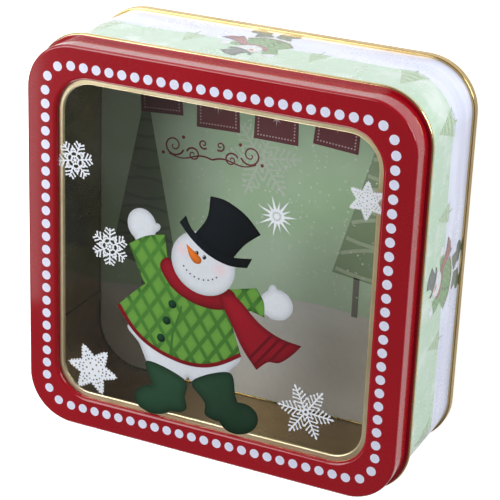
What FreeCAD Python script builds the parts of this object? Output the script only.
import FreeCAD, Part
import Sketcher

import math
import os

# Square cookie tin with a window in its slip lid. Millimetres, +Z up.
# The origin is the middle of the base's underside, where the tin stands.
# Every tinplate piece is a rounded-square band or plate, so each one is built up
# from pads whose outlines are rounded squares about the Z axis.

DIMENSIONS = {
    "gauge": 0.3,             # tinplate thickness
    "totalHeight": 74.0,      # underside to the lid's face
    # body
    "wallHalf": 97.0,         # half the outside width of the wall
    "wallRadius": 24.0,       # outside corner radius of the wall
    "neckInset": 0.8,         # how far the neck under the lid steps in
    "shoulderHeight": 58.55,  # top of the step that the lid comes down to
    "rimHeight": 73.1,        # top of the rolled rim
    "rimRoll": 1.7,           # height and width of the rolled rim
    "shoulderRound": 0.27,    # outside radius of the step
    "rimRound": 0.816,        # nearly half the rim, so that it is almost round
    "hookReach": 0.8,         # outward flange held in the bottom seam
    "lockWidth": 5.0,         # side seam, folded flat on the inside
    "lockDepth": 0.6,
    "lockOffset": 62.0,       # side seam's distance from the middle of its side
    # base
    "seamProud": 1.4,         # how far the bottom seam stands out from the wall
    "seamHeight": 4.2,
    "seamEdge": 0.6,
    "panelHeight": 4.1,       # top of the recessed base panel
    "beadOuter": 88.0,        # stiffening bead pressed down into the panel
    "beadWidth": 4.0,
    "beadDepth": 0.8,
    # card
    "cardHalf": 96.2,
    "cardThick": 0.5,
    # lid
    "lidHalf": 96.8,
    "lidRadius": 23.6,
    "lidDepth": 15.2,         # face to the underside of the curl
    "lidEdge": 1.2,           # outside radius between face and skirt
    "curlRoll": 2.4,          # height and width of the outward curl
    "curlRound": 1.176,       # nearly half the curl
    "windowHalf": 81.3,       # half the clear width inside the turned-in edge
    "windowRadius": 17.5,
    "hemDepth": 2.3,          # how deep the window's edge is turned in
    "hemEdge": 1.8,
    # window sheet and the frame that clamps it
    "sheetHalf": 88.6,
    "sheetThick": 0.3,
    "frameStep": 89.0,        # where the frame steps up to the lid's panel
    "frameHalf": 94.8,
    "frameLip": 78.6,         # clear half width inside the rolled lip
    "lipRoll": 1.7,
    "lipRound": 0.765,        # nearly half the lip
}

CLOSE = 1e-4  # mm, for comparing positions on finished edges

os.makedirs("parts", exist_ok=True)
doc = FreeCAD.newDocument("cookie_tin")


def fill_sheet():
    """The spreadsheet of driving dimensions, one alias per row."""
    sheet = doc.addObject("Spreadsheet::Sheet", "dims")
    for row, (alias, size) in enumerate(DIMENSIONS.items(), start=1):
        sheet.set(f"A{row}", alias)
        sheet.set(f"B{row}", str(size))
        sheet.setAlias(f"B{row}", alias)
    doc.recompute()
    return sheet


dims = fill_sheet()


def value(expression):
    """The number that an expression over the sheet's aliases gives now."""
    return float(dims.evalExpression(expression))


def new_body(label):
    body = doc.addObject("PartDesign::Body", label)
    body.Label = label
    body.Placement = FreeCAD.Placement()
    return body


def xy_plane(body):
    for feature in body.Origin.OriginFeatures:
        if feature.Role == "XY_Plane":
            return feature
    raise RuntimeError("no XY plane in " + body.Label)


def add_rounded_square(sketch, half, radius):
    """A closed rounded square about the sketch's origin, held by half width and radius."""
    reach = value(half)
    round_off = value(radius)
    flat = reach - round_off
    first = len(sketch.Geometry)
    # four sides, anticlockwise from the right-hand one, each followed by its corner
    sides = [
        ((reach, -flat), (reach, flat), (flat, flat), 0),
        ((flat, reach), (-flat, reach), (-flat, flat), 1),
        ((-reach, flat), (-reach, -flat), (-flat, -flat), 2),
        ((-flat, -reach), (flat, -reach), (flat, -flat), 3),
    ]
    quarter = math.pi / 2
    for start, end, centre, turns in sides:
        line = Part.LineSegment(FreeCAD.Vector(*start, 0), FreeCAD.Vector(*end, 0))
        sketch.addGeometry(line, False)
        circle = Part.Circle(FreeCAD.Vector(*centre, 0), FreeCAD.Vector(0, 0, 1), round_off)
        corner = Part.ArcOfCircle(circle, turns * quarter, (turns + 1) * quarter)
        sketch.addGeometry(corner, False)
    lines = [first, first + 2, first + 4, first + 6]
    corners = [first + 1, first + 3, first + 5, first + 7]
    for place, line in enumerate(lines):
        next_line = lines[(place + 1) % 4]
        direction = "Horizontal" if place % 2 else "Vertical"
        sketch.addConstraint(Sketcher.Constraint("Tangent", line, 2, corners[place], 1))
        sketch.addConstraint(Sketcher.Constraint("Tangent", corners[place], 2, next_line, 1))
        sketch.addConstraint(Sketcher.Constraint(direction, line))
    for corner in corners[1:]:
        sketch.addConstraint(Sketcher.Constraint("Equal", corners[0], corner))
    origin = -1
    reaches = [
        Sketcher.Constraint("DistanceX", origin, 1, lines[0], 1, reach),
        Sketcher.Constraint("DistanceY", origin, 1, lines[1], 1, reach),
        Sketcher.Constraint("DistanceX", lines[2], 1, origin, 1, reach),
        Sketcher.Constraint("DistanceY", lines[3], 1, origin, 1, reach),
    ]
    for constraint in reaches:
        index = sketch.addConstraint(constraint)
        sketch.setExpression(f"Constraints[{index}]", half)
    index = sketch.addConstraint(Sketcher.Constraint("Radius", corners[0], round_off))
    sketch.setExpression(f"Constraints[{index}]", radius)


def radius_at(half, base_half, base_radius):
    """The corner radius of a rounded square parallel to a base one."""
    return f"{base_radius} + ({half}) - {base_half}"


def wall_radius(half):
    return radius_at(half, "dims.wallHalf", "dims.wallRadius")


def lid_radius(half):
    return radius_at(half, "dims.lidHalf", "dims.lidRadius")


def window_radius(half):
    return radius_at(half, "dims.windowHalf", "dims.windowRadius")


def add_layer(body, name, bottom, height, outlines):
    """A pad from height bottom, whose outline is one rounded square or the band between two."""
    sketch = body.newObject("Sketcher::SketchObject", name + "_sketch")
    sketch.AttachmentSupport = [(xy_plane(body), "")]
    sketch.MapMode = "FlatFace"
    sketch.setExpression("AttachmentOffset.Base.z", bottom)
    for half, radius in outlines:
        add_rounded_square(sketch, half, radius)
    pad = body.newObject("PartDesign::Pad", name)
    pad.Profile = sketch
    pad.setExpression("Length", height)
    doc.recompute()
    return pad


def edges_on(shape, half, radius, level):
    """Names of the edges along one rounded square at one height."""
    reach = value(half)
    round_off = value(radius)
    flat = reach - round_off
    height = value(level)
    names = []
    for number, edge in enumerate(shape.Edges, start=1):
        box = edge.BoundBox
        if abs(box.ZMin - height) > CLOSE or abs(box.ZMax - height) > CLOSE:
            continue
        middle = edge.valueAt((edge.FirstParameter + edge.LastParameter) / 2)
        across = max(abs(middle.x), abs(middle.y))
        corner = FreeCAD.Vector(abs(middle.x) - flat, abs(middle.y) - flat, 0)
        on_side = abs(across - reach) < CLOSE and min(corner.x, corner.y) < CLOSE
        on_corner = corner.x > 0 and corner.y > 0 and abs(corner.Length - round_off) < CLOSE
        if on_side or on_corner:
            names.append(f"Edge{number}")
    return names


def round_edges(body, name, size, *rims):
    """A fillet along whole rims, each given as its half width, corner radius and height."""
    base = body.Tip
    names = []
    for half, radius, level in rims:
        found = edges_on(base.Shape, half, radius, level)
        if len(found) != 8:
            raise RuntimeError(f"{name}: {len(found)} edges at {level}")
        names += found
    fillet = body.newObject("PartDesign::Fillet", name)
    fillet.Base = (base, names)
    fillet.setExpression("Radius", size)
    doc.recompute()
    return fillet


def make_body_wall():
    """The printed band: wall, bottom hook, shoulder, neck, rolled rim and side seam."""
    body = new_body("body_wall")
    outside = "dims.wallHalf"
    inside = "dims.wallHalf - dims.gauge"
    hook = "dims.wallHalf + dims.hookReach"
    neck = "dims.wallHalf - dims.neckInset"
    neck_inside = "dims.wallHalf - dims.neckInset - dims.gauge"
    rim_inside = "dims.wallHalf - dims.neckInset - dims.rimRoll"
    rim_bottom = "dims.rimHeight - dims.rimRoll"

    wall = [(outside, wall_radius(outside)), (inside, wall_radius(inside))]
    add_layer(body, "wall", "dims.gauge", "dims.shoulderHeight - dims.gauge", wall)
    hooked = [(hook, wall_radius(hook)), (inside, wall_radius(inside))]
    add_layer(body, "bottom_hook", "dims.gauge", "dims.gauge", hooked)
    step = [(outside, wall_radius(outside)), (neck_inside, wall_radius(neck_inside))]
    add_layer(body, "shoulder", "dims.shoulderHeight - dims.gauge", "dims.gauge", step)
    upright = [(neck, wall_radius(neck)), (neck_inside, wall_radius(neck_inside))]
    add_layer(body, "neck", "dims.shoulderHeight - dims.gauge",
              "dims.rimHeight - dims.rimRoll / 2 - dims.shoulderHeight", upright)
    rolled = [(neck, wall_radius(neck)), (rim_inside, wall_radius(rim_inside))]
    add_layer(body, "rim", rim_bottom, "dims.rimRoll", rolled)

    round_edges(body, "shoulder_round", "dims.shoulderRound",
                (outside, wall_radius(outside), "dims.shoulderHeight"))
    round_edges(body, "rim_round", "dims.rimRound",
                (neck, wall_radius(neck), "dims.rimHeight"),
                (rim_inside, wall_radius(rim_inside), "dims.rimHeight"),
                (rim_inside, wall_radius(rim_inside), rim_bottom))
    add_side_seam(body, inside)
    return body


def add_side_seam(body, inside):
    """The lock seam, a flat strip of folded tinplate up the inside of the -X wall."""
    sketch = body.newObject("Sketcher::SketchObject", "side_seam_sketch")
    sketch.AttachmentSupport = [(xy_plane(body), "")]
    sketch.MapMode = "FlatFace"
    sketch.setExpression("AttachmentOffset.Base.z", "dims.panelHeight + 2 * dims.cardThick")
    face = value(inside)
    depth = value("dims.lockDepth")
    near = value("dims.lockOffset")
    width = value("dims.lockWidth")
    corners = [
        FreeCAD.Vector(-face, -near, 0),
        FreeCAD.Vector(-face + depth, -near, 0),
        FreeCAD.Vector(-face + depth, -near + width, 0),
        FreeCAD.Vector(-face, -near + width, 0),
    ]
    for place, corner in enumerate(corners):
        sketch.addGeometry(Part.LineSegment(corner, corners[(place + 1) % 4]), False)
    for place in range(4):
        direction = "Vertical" if place % 2 else "Horizontal"
        sketch.addConstraint(Sketcher.Constraint("Coincident", place, 2, (place + 1) % 4, 1))
        sketch.addConstraint(Sketcher.Constraint(direction, place))
    origin = -1
    sizes = [
        (Sketcher.Constraint("DistanceX", 0, 1, origin, 1, face), inside),
        (Sketcher.Constraint("DistanceX", 0, 1, 0, 2, depth), "dims.lockDepth"),
        (Sketcher.Constraint("DistanceY", 0, 1, origin, 1, near), "dims.lockOffset"),
        (Sketcher.Constraint("DistanceY", 1, 1, 1, 2, width), "dims.lockWidth"),
    ]
    for constraint, expression in sizes:
        index = sketch.addConstraint(constraint)
        sketch.setExpression(f"Constraints[{index}]", expression)
    pad = body.newObject("PartDesign::Pad", "side_seam")
    pad.Profile = sketch
    pad.setExpression("Length",
                      "dims.shoulderHeight - 2 * dims.gauge - dims.panelHeight - 2 * dims.cardThick")
    doc.recompute()


def make_base_plate():
    """The base: recessed panel with a stiffening bead, and the seam rolled round the wall's hook."""
    body = new_body("base_plate")
    outside = "dims.wallHalf + dims.seamProud"
    hook = "dims.wallHalf + dims.hookReach"
    wall = "dims.wallHalf"
    chuck = "dims.wallHalf - dims.gauge"
    chuck_inside = "dims.wallHalf - 2 * dims.gauge"
    bead_outer = "dims.beadOuter"
    bead_inner = "dims.beadOuter - dims.beadWidth"
    bead_floor = "dims.panelHeight - dims.beadDepth - dims.gauge"

    web = [(outside, wall_radius(outside)), (chuck_inside, wall_radius(chuck_inside))]
    add_layer(body, "seam_web", "0 mm", "dims.gauge", web)
    hook_side = [(outside, wall_radius(outside)), (hook, wall_radius(hook))]
    add_layer(body, "seam_side", "dims.gauge", "dims.gauge", hook_side)
    band = [(outside, wall_radius(outside)), (wall, wall_radius(wall))]
    add_layer(body, "seam_band", "2 * dims.gauge", "dims.seamHeight - 2 * dims.gauge", band)
    upright = [(chuck, wall_radius(chuck)), (chuck_inside, wall_radius(chuck_inside))]
    add_layer(body, "chuck_wall", "0 mm", "dims.panelHeight", upright)
    margin_inside = "dims.beadOuter - dims.gauge"
    margin = [(chuck, wall_radius(chuck)), (margin_inside, wall_radius(margin_inside))]
    add_layer(body, "panel_margin", "dims.panelHeight - dims.gauge", "dims.gauge", margin)
    for name, half in (("bead_outer_side", bead_outer), ("bead_inner_side", bead_inner)):
        inner = f"{half} - dims.gauge"
        side = [(half, wall_radius(half)), (inner, wall_radius(inner))]
        add_layer(body, name, bead_floor, "dims.beadDepth + dims.gauge", side)
    floor_inner = f"{bead_inner} - dims.gauge"
    floor = [(bead_outer, wall_radius(bead_outer)), (floor_inner, wall_radius(floor_inner))]
    add_layer(body, "bead_floor", bead_floor, "dims.gauge", floor)
    add_layer(body, "panel", "dims.panelHeight - dims.gauge", "dims.gauge",
              [(bead_inner, wall_radius(bead_inner))])

    round_edges(body, "seam_round", "dims.seamEdge",
                (outside, wall_radius(outside), "0 mm"),
                (outside, wall_radius(outside), "dims.seamHeight"))
    return body


def make_backdrop_card():
    """The printed card that lies on the base panel inside the tin."""
    body = new_body("backdrop_card")
    half = "dims.cardHalf"
    add_layer(body, "card", "dims.panelHeight", "dims.cardThick", [(half, wall_radius(half))])
    return body


def make_lid_shell():
    """The drawn lid: face with a turned-in window edge, skirt, and an outward curl."""
    body = new_body("lid_shell")
    outside = "dims.lidHalf"
    inside = "dims.lidHalf - dims.gauge"
    curl = "dims.lidHalf + dims.curlRoll"
    window = "dims.windowHalf"
    window_back = "dims.windowHalf + dims.gauge"
    face = "dims.totalHeight"
    under_face = "dims.totalHeight - dims.gauge"
    foot = "dims.totalHeight - dims.lidDepth"
    curl_top = "dims.totalHeight - dims.lidDepth + dims.curlRoll"

    plate = [(outside, lid_radius(outside)), (window, window_radius(window))]
    add_layer(body, "face", under_face, "dims.gauge", plate)
    skirt = [(outside, lid_radius(outside)), (inside, lid_radius(inside))]
    add_layer(body, "skirt", foot, "dims.lidDepth", skirt)
    hem = [(window_back, window_radius(window_back)), (window, window_radius(window))]
    add_layer(body, "window_hem", f"{face} - dims.hemDepth", "dims.hemDepth", hem)
    rolled = [(curl, lid_radius(curl)), (inside, lid_radius(inside))]
    add_layer(body, "curl", foot, "dims.curlRoll", rolled)

    round_edges(body, "face_edge", "dims.lidEdge", (outside, lid_radius(outside), face))
    round_edges(body, "face_edge_inside", "dims.lidEdge - dims.gauge",
                (inside, lid_radius(inside), under_face))
    round_edges(body, "hem_edge", "dims.hemEdge", (window, window_radius(window), face))
    round_edges(body, "hem_edge_inside", "dims.hemEdge - dims.gauge",
                (window_back, window_radius(window_back), under_face))
    round_edges(body, "curl_round", "dims.curlRound",
                (curl, lid_radius(curl), foot),
                (curl, lid_radius(curl), curl_top))
    return body


def make_window_sheet():
    """The clear sheet, flat against the window's turned-in edge."""
    body = new_body("window_sheet")
    half = "dims.sheetHalf"
    add_layer(body, "sheet", "dims.totalHeight - dims.hemDepth - dims.sheetThick",
              "dims.sheetThick", [(half, window_radius(half))])
    return body


def make_window_frame():
    """The frame behind the window: a rolled lip and a flange under the sheet, stepped up to the lid."""
    body = new_body("window_retaining_ring")
    lip = "dims.frameLip"
    lip_back = "dims.frameLip + dims.lipRoll"
    step = "dims.frameStep"
    step_back = "dims.frameStep + dims.gauge"
    outside = "dims.frameHalf"
    sheet_under = "dims.totalHeight - dims.hemDepth - dims.sheetThick"
    face_under = "dims.totalHeight - dims.gauge"
    lip_foot = f"{sheet_under} - dims.lipRoll"

    flange = [(step_back, window_radius(step_back)), (lip, window_radius(lip))]
    add_layer(body, "lower_flange", f"{sheet_under} - dims.gauge", "dims.gauge", flange)
    rolled = [(lip_back, window_radius(lip_back)), (lip, window_radius(lip))]
    add_layer(body, "lip", lip_foot, "dims.lipRoll", rolled)
    riser = [(step_back, window_radius(step_back)), (step, window_radius(step))]
    add_layer(body, "riser", f"{sheet_under} - dims.gauge",
              "dims.hemDepth + dims.sheetThick", riser)
    upper = [(outside, lid_radius(outside)), (step, window_radius(step))]
    add_layer(body, "upper_flange", f"{face_under} - dims.gauge", "dims.gauge", upper)

    round_edges(body, "lip_round", "dims.lipRound",
                (lip, window_radius(lip), lip_foot),
                (lip, window_radius(lip), sheet_under),
                (lip_back, window_radius(lip_back), lip_foot))
    return body


def check_and_write(bodies):
    """Stop on any failed object or bad shape, then write one STEP file per piece."""
    doc.recompute()
    for item in doc.Objects:
        if "Invalid" in item.State or "Error" in item.State:
            raise RuntimeError("failed object: " + item.Label)
    for body in bodies:
        if body.Shape.isNull() or not body.Shape.isValid() or len(body.Shape.Solids) != 1:
            raise RuntimeError("bad shape: " + body.Label)
    for body in bodies:
        body.Shape.exportStep(os.path.join("parts", body.Label + ".step"))
        box = body.Shape.BoundBox
        print(f"{body.Label}: {box.XLength:.2f} x {box.YLength:.2f} x {box.ZLength:.2f} mm, "
              f"z {box.ZMin:.2f} to {box.ZMax:.2f}, {body.Shape.Volume / 1000:.2f} cm3")


check_and_write([
    make_body_wall(),
    make_base_plate(),
    make_backdrop_card(),
    make_lid_shell(),
    make_window_sheet(),
    make_window_frame(),
])
